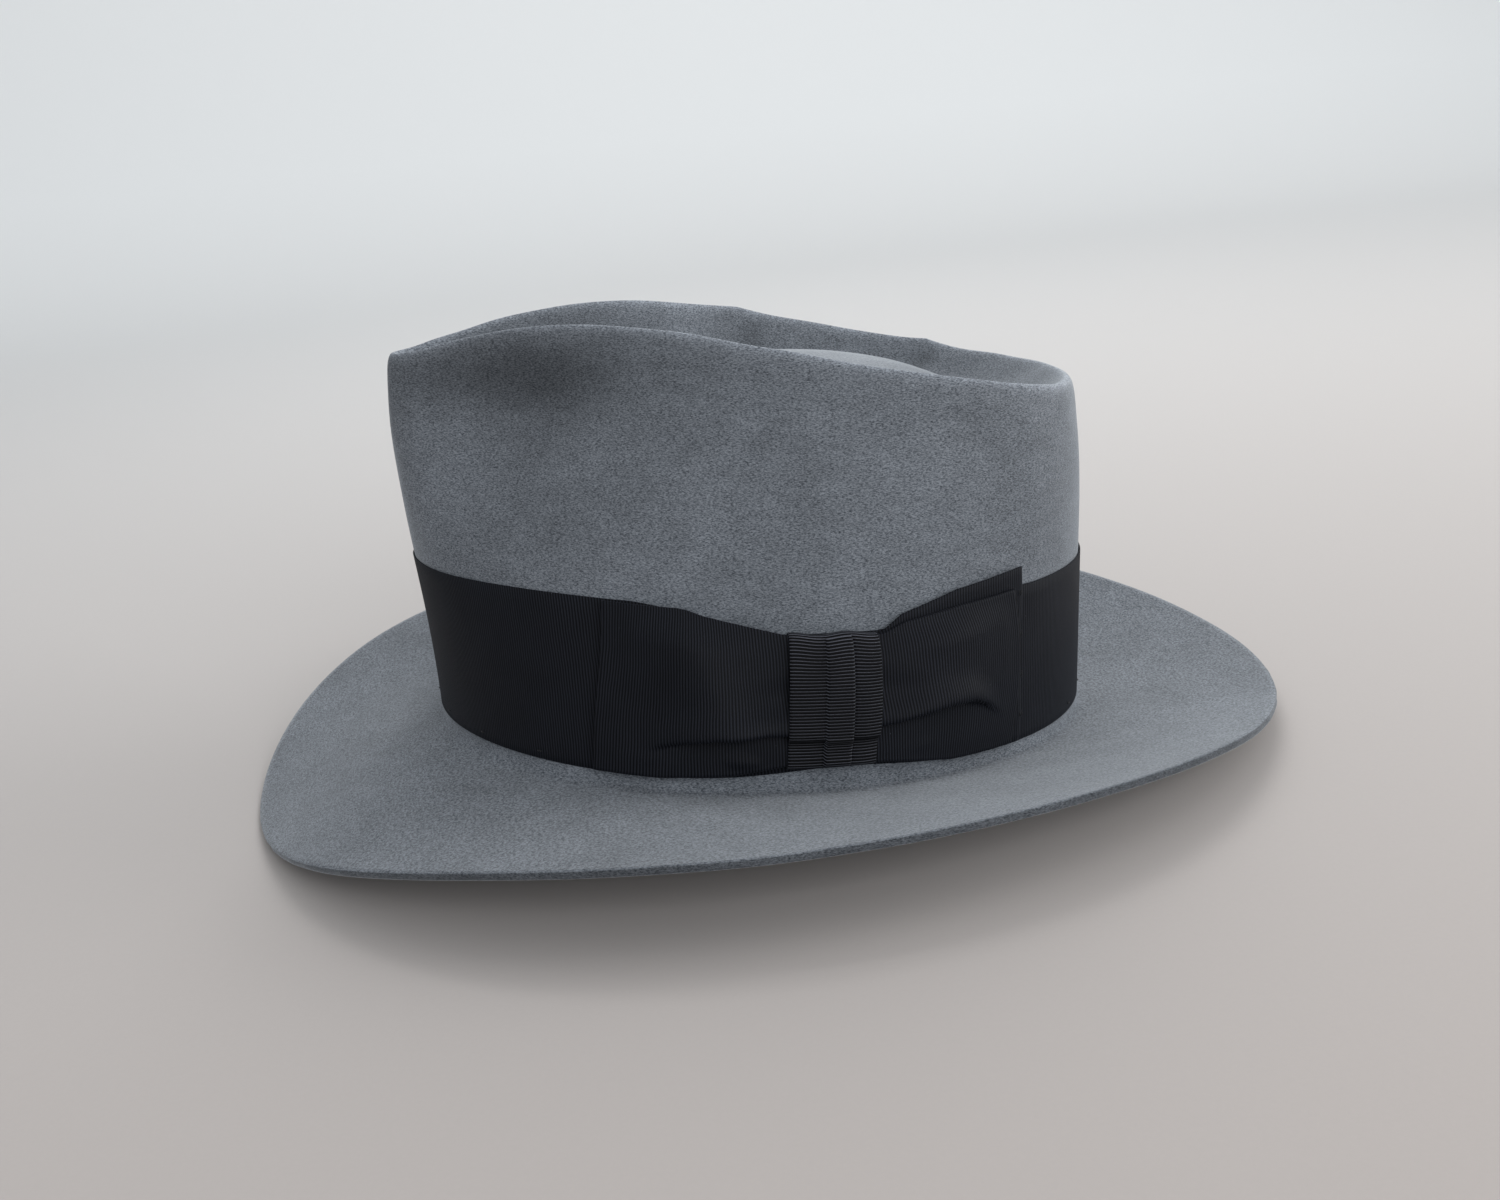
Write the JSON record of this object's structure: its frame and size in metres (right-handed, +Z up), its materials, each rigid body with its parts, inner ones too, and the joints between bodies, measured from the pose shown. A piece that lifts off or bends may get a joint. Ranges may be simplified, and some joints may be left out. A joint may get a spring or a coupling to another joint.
{
  "type": "fedora hat",
  "caption": "Felt hat with a teardrop-dented crown, a curved snap brim, a wide ribbon band with a flat side bow, a leather sweatband and a satin lining.",
  "frame": {"origin": "middle of the head opening, level with the line where the brim meets the crown", "axes": "+Z up through the crown, -Y to the front of the hat, +X to the wearer's left, the side with the bow"},
  "size_m": [0.2961, 0.3212, 0.15],
  "materials": {
    "felt": "brushed blue-grey fur felt with a short nap",
    "grosgrain": "near-black ribbed grosgrain ribbon, faint sheen",
    "dark_thread": "black sewing thread",
    "sweat_leather": "smooth dark brown sweatband leather",
    "reed_plastic": "plain off-white flexible strip",
    "cotton_tape": "woven black cotton tape",
    "tan_thread": "tan polyester thread",
    "joint_leather": "thin skived leather",
    "satin": "smooth blue-grey satin",
    "piping": "twisted satin cord",
    "tag_stock": "plain off-white coated tag"
  },
  "bodies": {
    "hat": {"felt_body": "felt", "hatband_ribbon": "grosgrain", "hatband_tack_stitches": "dark_thread", "bow_backing": "grosgrain", "bow_front_wing": "grosgrain", "bow_rear_wing": "grosgrain", "bow_knot": "grosgrain", "bow_tack_stitches": "dark_thread", "sweatband": "sweat_leather", "sweatband_reed": "reed_plastic", "sweatband_reed_tape": "cotton_tape", "sweatband_topstitch": "tan_thread", "sweatband_joint_tape": "joint_leather", "sweatband_joint_stitches": "tan_thread", "sweatband_bow_ribbon": "grosgrain", "lining_side": "satin", "lining_tip": "satin", "lining_piping": "piping", "lining_tack_stitches": "dark_thread", "size_tag": "tag_stock"}
  },
  "joints": []
}
